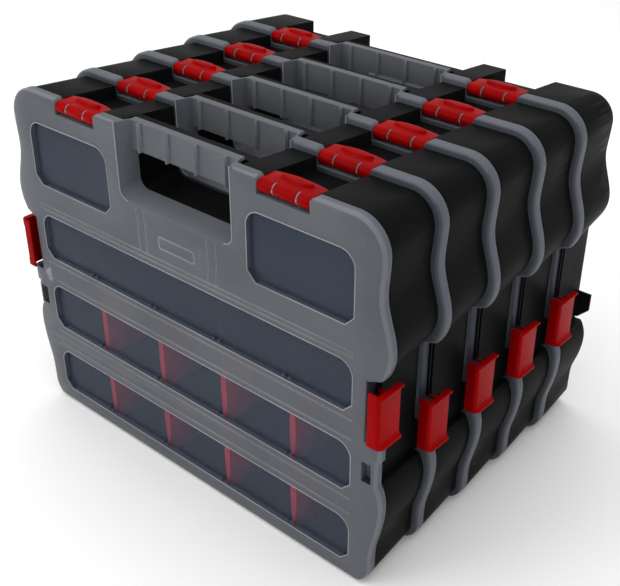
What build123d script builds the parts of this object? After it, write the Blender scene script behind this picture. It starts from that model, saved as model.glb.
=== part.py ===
from build123d import *
from math import hypot, sqrt
import os

os.makedirs("parts", exist_ok=True)

# Block of cases, each standing on its hinge edge with the lid facing -Y
case_count = 5
case_pitch = 63.6
case_gap = 0.6

# Case seen from the front
case_height = 317.0
top_corner_radius = 27.0
shoulder_half_width = 199.0
waist_half_width = 197.9
waist_height = 258.0
upper_bulge_half_width = 206.8
upper_bulge_height = 222.0
upper_bulge_end_half_width = 200.5
upper_bulge_end_height = 198.0
lower_bulge_half_width = 203.9
lower_bulge_height = 82.0
lower_waist_half_width = 198.6
lower_waist_height = 49.0
foot_half_width = 195.8
foot_corner_radius = 19.0

# Clip bay in the sides of lid and base
clip_bay_top = 193.5
lid_bay_half_width = 189.7
lid_tab_half_width = 201.1
lid_tab_top = 142.8
lid_tab_bottom = 126.5
lid_flank_half_width = 198.6
lid_flank_bottom = 102.4
base_bay_half_width = 192.5
base_bay_bottom = 101.0

# Lid
lid_depth = 9.2
lid_wall = 2.0
lid_edge_steps = [(0.0, 2.6), (0.5, 1.3), (1.3, 0.5), (2.6, 0.0)]
lid_bay_corner_radius = 4.0
parting_gap = 0.4

# Base
base_step_in = 1.2
base_rim_depth = 4.0
base_draft = 4.0
base_wall = 2.2
rear_wall = 2.2

# Tongue on the rim of the base, which stands inside the lid's side walls
tongue_front = 5.4
tongue_thickness = 1.7
tongue_clearance = 0.4
tongue_root = 1.0
tongue_inner = 141.0
tongue_upper_bottom = 198.0
tongue_lower_limits = (58.0, 96.0)

# Hand hole, handle bar and the funnel that the lid pushes into the hand hole
recess_half_width = 62.5
recess_bottom = 253.5
recess_corner_radius = 9.0
recess_lean_side = 6.0
recess_lean_bottom = 6.0
funnel_depth = 17.0
funnel_wall = 1.6
funnel_clearance = 0.6
grip_wall_front = 13.0
grip_wall_thickness = 1.8
grip_wall_bottom = 292.7
grip_rim_height = 2.4
grip_rim_rear = 19.7
grip_rib_places = [-47.3, -15.8, 15.8, 47.3]
grip_rib_width = 1.6
grip_rib_depth = 3.4
bar_front = 20.1
bar_rear = 30.4
bar_bottom = 293.5
bar_rounding = 1.0

# Latch bays between pillars and shoulders
bay_inner = 88.0
bay_outer = 137.0
latch_ledge_height = 304.0
base_bay_floor = 300.8

# Windows
window_half_width = 176.7
top_window_inner = 76.8
window_rows = [(232.3, 290.0), (159.9, 203.7), (86.6, 131.8), (15.9, 59.8)]
window_top_radius = 13.0
window_corner_cut = 8.0
window_sunk = 4.4
window_thickness = 1.5
window_lip = 1.6

# Compartments
row_wall = 1.8
row_wall_heights = [217.9, 145.8, 73.2]
divider_places = [-113.2, -37.7, 37.7, 113.2]
fixed_rib_thickness = 1.8
inside_front = 7.0
guide_rib_height = 1.4
guide_rib_width = 1.2

# Removable dividers
divider_thickness = 1.6
divider_clearance = 0.3
divider_strip_width = 6.0
divider_strip_depth = 1.6

# Latches
latch_axis_depth = 5.7
latch_axis_height = 310.0
latch_rod_radius = 1.9
latch_bore_clearance = 0.08
latch_roll_radius = 5.2
latch_side_clearance = 0.4
latch_reach = 22.6
latch_plate = 2.0
latch_rear_drop = 9.6
latch_hook_front = 14.6
latch_hook_thickness = 1.8
latch_hook_drop = 12.2
latch_lug_width = 1.2
latch_lug_radius = 5.0
latch_lug_half_web = 1.5
latch_lug_clearance = 0.3
latch_snap_mouth = 3.2
latch_lug_places = [102.2, 124.0]
latch_corner_depth = 19.6
finger_pad_slope = 1.2
finger_pad_height = 2.1
finger_pad_width = 30.0
finger_pad_start = 11.2
catch_front = 11.4
catch_thickness = 2.4
catch_height = 5.6
catch_inset = 4.0

# Side clips
clip_height = 46.0
clip_rest_height = 103.2
clip_travel = 40.4
clip_plate = 2.2
clip_tab_clearance = 0.5
clip_front_reach = 4.5
clip_flange = 1.6
clip_flange_inner = 193.8
clip_rear_reach = 20.0
clip_rear_flange_inner = 194.4
clip_lip_flare = 2.6
clip_lip_height = 6.0
clip_lip_edge = 1.6
clip_lip_hollow = 0.45
clip_corner_radius = 3.0
clip_hook_inset = 7.0

# Groove in the base that guides the clip's hook
groove_clearance = 0.4
groove_hook_web = 2.3
groove_hook_foot = 2.0
groove_hook_length = 4.8
groove_front_skin = 1.4
groove_floor = 185.6
groove_backing = 2.4

# Lug and peg at the rear of each side, which the next case's clip holds
lug_thickness = 2.0
lug_half_width = 200.0
lug_top = 125.0
lug_bottom = 98.5
lug_slope = 10.0
peg_inner = 187.6
peg_outer = 194.6
peg_bottom = 106.0
peg_top = 122.0
peg_length = 4.6
slot_clearance = 1.0
slot_depth = 6.4

# Lid hinge along the bottom edge
hinge_radius = 4.4
hinge_ground_gap = 0.3
hinge_rod_radius = 1.7
hinge_bore_clearance = 0.08
hinge_lug_radius = 3.0
hinge_lug_width = 18.0
hinge_lug_places = [-140.0, -50.0, 50.0, 140.0]
hinge_pocket_side_gap = 0.5
hinge_skin = 1.2
hinge_arm_half_height = 1.4
hinge_snap_mouth = 2.9
hinge_web_clearance = 0.3

# Relief on the lid's face
relief_depth = 0.6
label_frame_width = 41.0
label_frame_height = 11.0
label_frame_centre = 228.6
label_frame_line = 1.0
label_frame_corner = 2.5
band_line_width = 1.2
band_line_heights = [212.6, 208.4, 154.6, 137.2, 80.6, 66.4]
rib_places = [-44.0, -35.0, 35.0, 44.0]
rib_width = 1.4
rib_bottom = 214.0
rib_top = 250.0
nub_spacing = 6.4
nub_width = 2.6
nub_height = 3.0
nub_front = 1.0

# Places that follow from the sizes above
base_front = lid_depth + parting_gap
case_depth = case_pitch - case_gap
block_front = -clip_front_reach
block_rear = (case_count - 1) * case_pitch + case_depth + peg_length
block_shift = -(block_front + block_rear) / 2
hinge_axis_depth = hinge_radius
hinge_axis_height = hinge_radius + hinge_ground_gap
base_inside_rear = case_depth - rear_wall
hand_hole_half_width = recess_half_width + funnel_wall + funnel_clearance
hand_hole_bottom = recess_bottom - funnel_wall - funnel_clearance
latch_top = latch_axis_height + latch_roll_radius
latch_straight_end = latch_corner_depth
latch_width = bay_outer - bay_inner - 2 * latch_side_clearance
latch_centre = (bay_inner + bay_outer) / 2
clip_plate_inner = lid_tab_half_width + clip_tab_clearance
clip_plate_outer = clip_plate_inner + clip_plate
groove_front = base_front + groove_front_skin
hook_front = groove_front + groove_clearance
hook_rear = hook_front + groove_hook_length
hook_inner = groove_floor + groove_clearance
groove_mouth_rear = hook_front + groove_hook_web + groove_clearance
groove_chamber_rear = hook_rear + groove_clearance
groove_chamber_outer = hook_inner + groove_hook_foot + groove_clearance
bar_lean = base_draft / (case_depth - base_front - base_rim_depth)
bar_top = case_height - base_step_in - bar_lean * (bar_rear - base_front - base_rim_depth)
grip_wall_half_width = recess_half_width - recess_lean_side * grip_wall_front / funnel_depth + funnel_wall / 2
hinge_barrel_top = hinge_axis_height + hinge_rod_radius + hinge_web_clearance
hinge_swing_radius = hypot(lid_depth - hinge_axis_depth, hinge_barrel_top - hinge_axis_height)
hinge_swing_top = hinge_axis_height + hinge_swing_radius + divider_clearance
guide_offset = divider_thickness / 2 + divider_clearance + guide_rib_width / 2
far = 2 * case_height

# Rows that hold removable dividers: floor, ceiling and the floor's rise to the rear
removable_rows = [
    (row_wall_heights[2] + row_wall / 2, row_wall_heights[1] - row_wall / 2, 0.0),
    (base_wall, row_wall_heights[2] - row_wall / 2, base_draft),
]

# Windows by their height limits and side limits
windows = [
    (window_rows[0], (top_window_inner, window_half_width)),
    (window_rows[0], (-window_half_width, -top_window_inner)),
    (window_rows[1], (-window_half_width, window_half_width)),
    (window_rows[2], (-window_half_width, window_half_width)),
    (window_rows[3], (-window_half_width, window_half_width)),
]


def front_plane(depth):
    """The upright plane at this depth behind the lid's face, with X to the right and Z up."""
    return Plane.XZ.offset(-depth)


def rectangle(left, right, bottom, top, mode=Mode.ADD):
    """An upright rectangle by its four sides, in the current sketch."""
    with Locations(((left + right) / 2, (bottom + top) / 2)):
        Rectangle(right - left, top - bottom, mode=mode)


def block(x_limits, y_limits, z_limits, mode=Mode.ADD):
    """A box by its limits along X, Y and Z, in the current part."""
    centre = [(low + high) / 2 for low, high in (x_limits, y_limits, z_limits)]
    with Locations(tuple(centre)):
        Box(x_limits[1] - x_limits[0], y_limits[1] - y_limits[0], z_limits[1] - z_limits[0], mode=mode)


def both_sides(limits):
    """The limits of a feature on the right and its mirror image on the left."""
    low, high = limits
    return [(low, high), (-high, -low)]


def case_outline(inset, bottom, bay):
    """The case's outline, drawn in by inset at the top and sides, in the current sketch."""
    top = case_height - inset
    side = shoulder_half_width - inset
    corner = top_corner_radius - inset
    foot = foot_corner_radius - inset
    bulge_end = (upper_bulge_end_half_width - inset, upper_bulge_end_height + inset)
    with BuildLine() as outline:
        Line((0, top), (side - corner, top))
        RadiusArc((side - corner, top), (side, top - corner), corner)
        Spline(
            (side, top - corner),
            (waist_half_width - inset, waist_height),
            (upper_bulge_half_width - inset, upper_bulge_height),
            bulge_end,
            tangents=((0, -1), (-0.55, -0.85)),
        )
        Polyline(bulge_end, *bay)
        Spline(
            bay[-1],
            (lower_bulge_half_width - inset, lower_bulge_height),
            (lower_waist_half_width - inset, lower_waist_height),
            (foot_half_width - inset, bottom + foot),
            tangents=((0.75, -1), (0, -1)),
        )
        RadiusArc((foot_half_width - inset, bottom + foot), (foot_half_width - inset - foot, bottom), foot)
        Line((foot_half_width - inset - foot, bottom), (0, bottom))
        mirror(about=Plane.YZ)
    make_face(outline.edges())


def lid_outline(inset, bottom=hinge_ground_gap):
    """The lid's outline: its sides step in for the raised clip and out again at the tab."""
    bay = [
        (lid_bay_half_width - inset, clip_bay_top + inset),
        (lid_bay_half_width - inset, lid_tab_top - inset),
        (lid_tab_half_width - inset, lid_tab_top - inset),
        (lid_tab_half_width - inset, lid_tab_bottom + inset),
        (lid_flank_half_width - inset, lid_tab_bottom + inset),
        (lid_flank_half_width - inset, lid_flank_bottom),
    ]
    case_outline(inset, bottom, bay)


def base_outline(inset, bottom=0.0):
    """The base's outline: its sides are flat behind the clip."""
    bay = [
        (base_bay_half_width - inset, clip_bay_top + inset),
        (base_bay_half_width - inset, base_bay_bottom - inset),
        (lid_flank_half_width - inset, base_bay_bottom - inset),
    ]
    case_outline(inset, bottom, bay)


def clip_corner_cut(outer, z_limits):
    """Rounds the clip's upright front corner, whose outer face lies at outer, in the current part."""
    inner = clip_plate_outer - clip_corner_radius
    radius = outer - inner
    with BuildSketch(Plane.XY.offset(z_limits[0])) as corner:
        rectangle(inner, outer + 1.0, -clip_front_reach - 1.0, radius - clip_front_reach)
        with Locations((inner, radius - clip_front_reach)):
            Circle(radius, mode=Mode.SUBTRACT)
    extrude(corner.sketch, amount=z_limits[1] - z_limits[0], mode=Mode.SUBTRACT)


def latch_bays(grow, floor, mode=Mode.ADD):
    """Both latch bays, each larger by grow, in the current sketch."""
    for left, right in both_sides((bay_inner, bay_outer)):
        rectangle(left - grow, right + grow, floor - grow, far, mode=mode)


def latch_bay_shoulders():
    """What rounds the lid's upper corners beside each latch bay, in the current sketch."""
    radius = lid_bay_corner_radius
    for left, right in both_sides((bay_inner, bay_outer)):
        rectangle(left - radius, right + radius, case_height - radius, far)
        with Locations((left - radius, case_height - radius), (right + radius, case_height - radius)):
            Circle(radius, mode=Mode.SUBTRACT)


def window_shape(limits, grow):
    """One window: rounded upper corners and cut-off lower ones, larger by grow, in the current sketch."""
    (low, high), (left, right) = limits
    cut = window_corner_cut + grow * (2 - sqrt(2))
    with BuildSketch(mode=Mode.PRIVATE) as shape:
        rectangle(left - grow, right + grow, low - grow, high + grow)
        chamfer(shape.vertices().group_by(Axis.Y)[0], cut)
        fillet(shape.vertices().group_by(Axis.Y)[-1], window_top_radius + grow)
    add(shape.sketch)


def funnel_section(lean_side, lean_bottom, grow, top):
    """The hand opening of the lid, leaning inward and larger by grow, in the current sketch."""
    half_width = recess_half_width - lean_side + grow
    rectangle(-half_width, half_width, recess_bottom + lean_bottom - grow, top)
    fillet(vertices().group_by(Axis.Y)[0], recess_corner_radius + grow)


def write_piece(shape, name):
    """Names one finished piece and writes it."""
    shape.label = name
    export_step(shape, f"parts/{name}.step")


# Hollow of the base: the space inside its walls, less the row walls and what passes through
with BuildPart() as hollow:
    with BuildSketch(front_plane(base_front - 1.0)):
        base_outline(base_step_in + base_wall, bottom=base_wall)
    with BuildSketch(front_plane(base_front + base_rim_depth)):
        base_outline(base_step_in + base_wall, bottom=base_wall)
    loft(ruled=True)
    with BuildSketch(front_plane(base_front + base_rim_depth)):
        base_outline(base_step_in + base_wall, bottom=base_wall)
    with BuildSketch(front_plane(base_inside_rear)):
        base_outline(base_step_in + base_wall + base_draft, bottom=base_wall + base_draft)
    loft(ruled=True)
    for height in row_wall_heights:
        block((-far, far), (0, case_pitch), (height - row_wall / 2, height + row_wall / 2), Mode.SUBTRACT)
    block(
        (-hand_hole_half_width - base_wall, hand_hole_half_width + base_wall),
        (0, case_pitch),
        (row_wall_heights[0], far),
        Mode.SUBTRACT,
    )
    for limits in both_sides((bay_inner - base_wall, bay_outer + base_wall)):
        block(limits, (0, case_pitch), (base_bay_floor - base_wall, far), Mode.SUBTRACT)
    for limits in both_sides((groove_floor - groove_backing, far)):
        block(
            limits,
            (0, groove_chamber_rear + groove_backing),
            (base_bay_bottom - base_wall, clip_bay_top + base_wall),
            Mode.SUBTRACT,
        )

# Space between the hand hole's floor and the first row wall
with BuildPart() as centre_hollow:
    block(
        (-hand_hole_half_width, hand_hole_half_width),
        (base_front - 1.0, base_inside_rear),
        (row_wall_heights[0] + row_wall / 2, hand_hole_bottom - base_wall),
    )

# Base: drafted shell with row walls, ribs, handle bar, catches, lugs and hinge arms
with BuildPart() as base:
    with BuildSketch(front_plane(base_front)):
        base_outline(base_step_in)
    with BuildSketch(front_plane(base_front + base_rim_depth)):
        base_outline(base_step_in)
    loft(ruled=True)
    with BuildSketch(front_plane(base_front + base_rim_depth)):
        base_outline(base_step_in)
    with BuildSketch(front_plane(case_depth)):
        base_outline(base_step_in + base_draft, bottom=base_draft)
    loft(ruled=True)
    with BuildSketch(front_plane(0)):
        rectangle(-hand_hole_half_width, hand_hole_half_width, hand_hole_bottom, far)
        fillet(vertices().group_by(Axis.Y)[0], recess_corner_radius)
        latch_bays(0, base_bay_floor)
    extrude(amount=-2 * case_depth, mode=Mode.SUBTRACT)
    add(hollow.part, mode=Mode.SUBTRACT)
    add(centre_hollow.part, mode=Mode.SUBTRACT)
    for limits in both_sides((groove_chamber_outer, far)):
        block(limits, (groove_front, groove_mouth_rear), (base_bay_bottom, clip_bay_top), Mode.SUBTRACT)
    for limits in both_sides((groove_floor, groove_chamber_outer)):
        block(limits, (groove_front, groove_chamber_rear), (base_bay_bottom, clip_bay_top), Mode.SUBTRACT)
    with BuildSketch(front_plane(tongue_front)):
        lid_outline(lid_wall + tongue_clearance)
        with BuildSketch(mode=Mode.SUBTRACT):
            lid_outline(lid_wall + tongue_clearance + tongue_thickness)
        with BuildSketch(mode=Mode.INTERSECT):
            for left, right in both_sides((tongue_inner, far)):
                rectangle(left, right, tongue_upper_bottom, far)
                rectangle(left, right, *tongue_lower_limits)
    extrude(amount=-(base_front + tongue_root - tongue_front))
    with BuildSketch(Plane.YZ.offset(-hand_hole_half_width - base_wall / 2)):
        rectangle(bar_front, bar_rear, bar_bottom, bar_top)
        fillet(vertices(), bar_rounding)
    extrude(amount=2 * hand_hole_half_width + base_wall)
    for place in divider_places:
        block(
            (place - fixed_rib_thickness / 2, place + fixed_rib_thickness / 2),
            (inside_front, base_inside_rear + rear_wall / 2),
            (row_wall_heights[1], row_wall_heights[0]),
        )
        for offset in (-guide_offset, guide_offset):
            with BuildSketch(Plane.YZ.offset(place + offset - guide_rib_width / 2)):
                guide_ends = (base_front, base_inside_rear + rear_wall / 2)
                for row_bottom, row_top, rise in removable_rows:
                    with BuildLine():
                        Polyline(
                            (guide_ends[0], row_bottom - row_wall / 2),
                            (guide_ends[0], row_bottom + guide_rib_height),
                            (guide_ends[1], row_bottom + guide_rib_height + rise),
                            (guide_ends[1], row_bottom - row_wall / 2 + rise),
                            close=True,
                        )
                    make_face()
                    rectangle(*guide_ends, row_top - guide_rib_height, row_top + row_wall / 2)
            extrude(amount=guide_rib_width)
    for limits in both_sides((bay_inner + catch_inset, bay_outer - catch_inset)):
        block(
            limits,
            (catch_front, catch_front + catch_thickness),
            (base_bay_floor - base_wall / 2, base_bay_floor + catch_height),
        )
    for side in (-1, 1):
        root = base_bay_half_width - base_step_in - base_draft - base_wall
        with BuildSketch(front_plane(case_depth - lug_thickness)):
            with BuildLine():
                Polyline(
                    (side * root, lug_top),
                    (side * lug_half_width, lug_top),
                    (side * lug_half_width, lug_bottom + lug_slope),
                    (side * (lug_half_width - lug_slope), lug_bottom),
                    (side * root, lug_bottom),
                    close=True,
                )
            make_face()
        extrude(amount=-lug_thickness)
    for limits in both_sides((peg_inner, peg_outer)):
        block(limits, (case_depth - lug_thickness / 2, case_depth + peg_length), (peg_bottom, peg_top))
    for place in hinge_lug_places:
        with BuildSketch(Plane.YZ.offset(place - hinge_lug_width / 2)):
            with Locations((hinge_axis_depth, hinge_axis_height)):
                Circle(hinge_lug_radius)
            rectangle(
                hinge_axis_depth,
                base_front + base_wall,
                hinge_axis_height - hinge_arm_half_height,
                hinge_axis_height + hinge_arm_half_height,
            )
            rectangle(base_front, base_front + base_wall, base_wall / 2, hinge_axis_height + hinge_arm_half_height)
            rectangle(
                hinge_axis_depth - hinge_snap_mouth / 2,
                hinge_axis_depth + hinge_snap_mouth / 2,
                hinge_axis_height,
                hinge_axis_height + hinge_lug_radius,
                mode=Mode.SUBTRACT,
            )
            with Locations((hinge_axis_depth, hinge_axis_height)):
                Circle(hinge_rod_radius + hinge_bore_clearance, mode=Mode.SUBTRACT)
        extrude(amount=hinge_lug_width)

# Lid: a shallow tray over the front with sunk windows, a funnel at the handle and its hinge barrel
with BuildPart() as lid:
    for (depth, inset), (next_depth, next_inset) in zip(lid_edge_steps, lid_edge_steps[1:]):
        with BuildSketch(front_plane(depth)):
            lid_outline(inset)
        with BuildSketch(front_plane(next_depth)):
            lid_outline(next_inset)
        loft(ruled=True)
    with BuildSketch(front_plane(lid_edge_steps[-1][0])):
        lid_outline(0)
    extrude(amount=-(lid_depth - lid_edge_steps[-1][0]))
    with BuildSketch(front_plane(0)):
        latch_bay_shoulders()
        latch_bays(0, latch_ledge_height)
    extrude(amount=-lid_depth, mode=Mode.SUBTRACT)
    with BuildSketch(front_plane(lid_wall)):
        lid_outline(lid_wall, bottom=hinge_barrel_top)
        latch_bays(lid_wall, latch_ledge_height, Mode.SUBTRACT)
    extrude(amount=-lid_depth, mode=Mode.SUBTRACT)
    for grow, top, loft_mode in ((funnel_wall, case_height, Mode.ADD), (0, far, Mode.SUBTRACT)):
        with BuildSketch(front_plane(0)):
            funnel_section(0, 0, grow, top)
        with BuildSketch(front_plane(funnel_depth)):
            funnel_section(recess_lean_side, recess_lean_bottom, grow, top)
        loft(ruled=True, mode=loft_mode)
    block(
        (-grip_wall_half_width, grip_wall_half_width),
        (grip_wall_front, grip_wall_front + grip_wall_thickness),
        (grip_wall_bottom, case_height),
    )
    block(
        (-grip_wall_half_width, grip_wall_half_width),
        (grip_wall_front, grip_rim_rear),
        (case_height - grip_rim_height, case_height),
    )
    for place in grip_rib_places:
        block(
            (place - grip_rib_width / 2, place + grip_rib_width / 2),
            (grip_wall_front - grip_rib_depth, grip_wall_front + grip_wall_thickness / 2),
            (grip_wall_bottom, case_height),
        )
    with BuildSketch(Plane.YZ.offset(-far)):
        rectangle(-lid_depth, lid_depth + parting_gap, -lid_depth, hinge_axis_height)
        with Locations((hinge_axis_depth, hinge_axis_height)):
            Circle(hinge_radius, mode=Mode.SUBTRACT)
    extrude(amount=2 * far, mode=Mode.SUBTRACT)
    for place in hinge_lug_places:
        pocket_start = place - hinge_lug_width / 2 - hinge_pocket_side_gap
        pocket_length = hinge_lug_width + 2 * hinge_pocket_side_gap
        with BuildSketch(Plane.YZ.offset(pocket_start)):
            with Locations((hinge_axis_depth, hinge_axis_height)):
                Circle(hinge_radius - hinge_skin)
            rectangle(
                hinge_axis_depth - hinge_arm_half_height - hinge_web_clearance,
                lid_depth + parting_gap,
                0,
                hinge_barrel_top + hinge_web_clearance,
            )
        extrude(amount=pocket_length, mode=Mode.SUBTRACT)
        with BuildSketch(Plane.YZ.offset(pocket_start - hinge_web_clearance)):
            with Locations((hinge_axis_depth, hinge_axis_height)):
                Circle(hinge_rod_radius)
        extrude(amount=pocket_length + 2 * hinge_web_clearance)
    for sketch_grow, depth_to, sketch_mode in (
        (window_lip, window_sunk + window_thickness, Mode.ADD),
        (0.0, window_sunk, Mode.SUBTRACT),
    ):
        with BuildSketch(front_plane(0)):
            for limits in windows:
                window_shape(limits, sketch_grow)
        extrude(amount=-depth_to, mode=sketch_mode)
    for place in divider_places:
        for low in [row[0] for row in window_rows[1:]]:
            for offset in (-nub_spacing / 2, nub_spacing / 2):
                block(
                    (place + offset - nub_width / 2, place + offset + nub_width / 2),
                    (nub_front, window_sunk + window_thickness / 2),
                    (low - window_lip / 2, low + nub_height),
                )
    for limits in both_sides((peg_inner - slot_clearance - window_lip, peg_outer + slot_clearance + window_lip)):
        block(
            limits,
            (0, slot_depth + window_lip),
            (peg_bottom - slot_clearance - window_lip, peg_top + slot_clearance + window_lip),
        )
    for limits in both_sides((peg_inner - slot_clearance, peg_outer + slot_clearance)):
        block(limits, (-1, slot_depth), (peg_bottom - slot_clearance, peg_top + slot_clearance), Mode.SUBTRACT)
    for left, right in both_sides((bay_inner - lid_wall / 2, bay_outer + lid_wall / 2)):
        with BuildSketch(Plane.YZ.offset(left)):
            with Locations((latch_axis_depth, latch_axis_height)):
                Circle(latch_rod_radius)
        extrude(amount=right - left)
    for place in latch_lug_places:
        for left, right in both_sides((place - latch_lug_width / 2, place + latch_lug_width / 2)):
            with BuildSketch(Plane.YZ.offset(left)):
                with Locations((latch_axis_depth, latch_axis_height)):
                    Circle(latch_lug_radius)
                rectangle(
                    latch_axis_depth - latch_lug_half_web,
                    latch_axis_depth + latch_lug_half_web,
                    latch_ledge_height - lid_wall / 2,
                    latch_axis_height,
                )
            extrude(amount=right - left)
    for height in band_line_heights:
        block(
            (-window_half_width, window_half_width),
            (-1, relief_depth),
            (height - band_line_width / 2, height + band_line_width / 2),
            Mode.SUBTRACT,
        )
    for place in rib_places:
        block(
            (place - rib_width / 2, place + rib_width / 2),
            (-1, relief_depth),
            (rib_bottom, rib_top),
            Mode.SUBTRACT,
        )
    with BuildSketch(front_plane(0)):
        with Locations((0, label_frame_centre)):
            RectangleRounded(label_frame_width, label_frame_height, label_frame_corner)
            RectangleRounded(
                label_frame_width - 2 * label_frame_line,
                label_frame_height - 2 * label_frame_line,
                label_frame_corner - label_frame_line,
                mode=Mode.SUBTRACT,
            )
    extrude(amount=-relief_depth, mode=Mode.SUBTRACT)

# Latch: a plate on a roll that snaps over the lid's rod, with a hook and a raised finger pad
with BuildPart() as latch:
    with BuildSketch(Plane.YZ.offset(latch_centre - latch_width / 2)):
        with Locations((latch_axis_depth, latch_axis_height)):
            Circle(latch_roll_radius)
        rectangle(latch_axis_depth, latch_straight_end, latch_top - latch_plate, latch_top)
        rectangle(latch_hook_front, latch_hook_front + latch_hook_thickness, latch_top - latch_hook_drop, latch_top)
        rectangle(
            latch_axis_depth - latch_snap_mouth / 2,
            latch_axis_depth + latch_snap_mouth / 2,
            0,
            latch_axis_height,
            mode=Mode.SUBTRACT,
        )
        with Locations((latch_axis_depth, latch_axis_height)):
            Circle(latch_rod_radius + latch_bore_clearance, mode=Mode.SUBTRACT)
    extrude(amount=latch_width)
    with BuildSketch(Plane.XY.offset(latch_top - latch_rear_drop)):
        with BuildLine():
            latch_left = latch_centre - latch_width / 2
            latch_right = latch_centre + latch_width / 2
            Polyline(
                (latch_left, latch_corner_depth),
                (latch_left, latch_straight_end - latch_plate),
                (latch_right, latch_straight_end - latch_plate),
                (latch_right, latch_corner_depth),
            )
            ThreePointArc(
                (latch_left, latch_corner_depth),
                (latch_centre, latch_reach),
                (latch_right, latch_corner_depth),
            )
        make_face()
    extrude(amount=latch_rear_drop)
    for height, narrowing in ((0, 0), (finger_pad_height, finger_pad_slope)):
        with BuildSketch(Plane.XY.offset(latch_top + height)):
            with Locations((latch_centre, (finger_pad_start + latch_reach - latch_plate) / 2)):
                Ellipse(
                    finger_pad_width / 2 - narrowing,
                    (latch_reach - latch_plate - finger_pad_start) / 2 - narrowing,
                )
    loft(ruled=True)
    for place in latch_lug_places:
        slit_half_width = latch_lug_width / 2 + latch_lug_clearance
        with BuildSketch(Plane.YZ.offset(place - slit_half_width)):
            with Locations((latch_axis_depth, latch_axis_height)):
                Circle(latch_lug_radius + latch_lug_clearance)
            rectangle(
                -far,
                latch_axis_depth + latch_lug_half_web + latch_lug_clearance,
                0,
                latch_axis_height + latch_lug_half_web + latch_lug_clearance,
            )
        extrude(amount=2 * slit_half_width, mode=Mode.SUBTRACT)

# Side clip: a plate with a front flange, a rear flange, flared ends and a hook for the base's groove
with BuildPart() as clip:
    for inset, outlines in (
        (0.0, (
            (clip_plate_inner, clip_plate_outer, -clip_front_reach, clip_rear_reach),
            (clip_flange_inner, clip_plate_outer, -clip_front_reach, clip_flange - clip_front_reach),
        )),
        (clip_hook_inset, (
            (clip_rear_flange_inner, clip_plate_outer, clip_rear_reach - clip_flange, clip_rear_reach),
            (hook_inner, clip_plate_outer, hook_front, hook_front + groove_hook_web),
            (hook_inner, hook_inner + groove_hook_foot, hook_front, hook_rear),
        )),
    ):
        with BuildSketch(Plane.XY.offset(clip_rest_height + inset)):
            for left, right, front, rear in outlines:
                rectangle(left, right, front, rear)
        extrude(amount=clip_height - 2 * inset)
    clip_corner_cut(clip_plate_outer, (clip_rest_height, clip_rest_height + clip_height))
    for end, inward in ((clip_rest_height, 1), (clip_rest_height + clip_height, -1)):
        lip_foot = (clip_plate_outer, end + inward * clip_lip_height)
        lip_edge = (clip_plate_outer + clip_lip_flare, end + inward * clip_lip_edge)
        hollow_side = (1 - clip_lip_hollow) ** 2 * clip_lip_flare
        hollow_rise = clip_lip_edge + clip_lip_hollow * (clip_lip_height - clip_lip_edge)
        with BuildPart(mode=Mode.PRIVATE) as lip:
            with BuildSketch(front_plane(-clip_front_reach)):
                with BuildLine():
                    Polyline(
                        lip_foot,
                        (clip_plate_outer - clip_plate / 2, end + inward * clip_lip_height),
                        (clip_plate_outer - clip_plate / 2, end),
                        (clip_plate_outer + clip_lip_flare, end),
                        lip_edge,
                    )
                    ThreePointArc(lip_edge, (clip_plate_outer + hollow_side, end + inward * hollow_rise), lip_foot)
                make_face()
            extrude(amount=-(clip_front_reach + clip_rear_reach))
            clip_corner_cut(clip_plate_outer + clip_lip_flare, (0, far))
        add(lip.part)

# Removable dividers: an upright panel with a wider strip along its front edge
panels = []
for row_bottom, row_top, rise in removable_rows:
    panel_bottom = row_bottom + divider_clearance
    panel_top = row_top - divider_clearance
    panel_rear = base_inside_rear - divider_clearance
    strip_bottom = max(panel_bottom, hinge_swing_top)
    strip_side = divider_thickness / 2
    with BuildPart() as panel:
        with BuildSketch(Plane.YZ.offset(-strip_side)):
            with BuildLine():
                Polyline(
                    (base_front + divider_clearance, panel_bottom),
                    (base_front + divider_clearance, panel_top),
                    (panel_rear, panel_top),
                    (panel_rear, panel_bottom + rise),
                    (base_front + base_rim_depth, panel_bottom),
                    close=True,
                )
            make_face()
            rectangle(inside_front, base_front + base_rim_depth, strip_bottom, panel_top)
        extrude(amount=divider_thickness)
        with BuildSketch(front_plane(inside_front)):
            with BuildLine():
                for side in (-strip_side, strip_side):
                    ThreePointArc(
                        (side, strip_bottom),
                        (side * divider_strip_width / divider_thickness, (strip_bottom + panel_top) / 2),
                        (side, panel_top),
                    )
                Line((-strip_side, strip_bottom), (strip_side, strip_bottom))
                Line((-strip_side, panel_top), (strip_side, panel_top))
            make_face()
        extrude(amount=-divider_strip_depth)
    panels.append(panel.part)

# The block: each case in its place, with left-hand pieces as mirror images
for index in range(case_count):
    case = index + 1
    place = Pos(0, block_shift + index * case_pitch, 0)
    rise = clip_travel if index == 0 else 0.0
    write_piece(place * base.part, f"base_{case}")
    write_piece(place * lid.part, f"lid_{case}")
    write_piece(place * latch.part, f"latch_right_{case}")
    write_piece(place * mirror(latch.part, about=Plane.YZ), f"latch_left_{case}")
    write_piece(place * Pos(0, 0, rise) * clip.part, f"clip_right_{case}")
    write_piece(place * Pos(0, 0, rise) * mirror(clip.part, about=Plane.YZ), f"clip_left_{case}")
    dividers = [place * Pos(x, 0, 0) * panel for panel in panels for x in divider_places]
    if index == 0:
        for number, divider in enumerate(dividers):
            row = number // len(divider_places) + len(window_rows) - len(panels) + 1
            write_piece(divider, f"divider_row_{row}_{number % len(divider_places) + 1}")
    else:
        write_piece(Compound(children=dividers), f"dividers_{case}")
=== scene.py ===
import math

import bmesh
import bpy
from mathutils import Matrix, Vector
from mathutils.bvhtree import BVHTree


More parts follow.
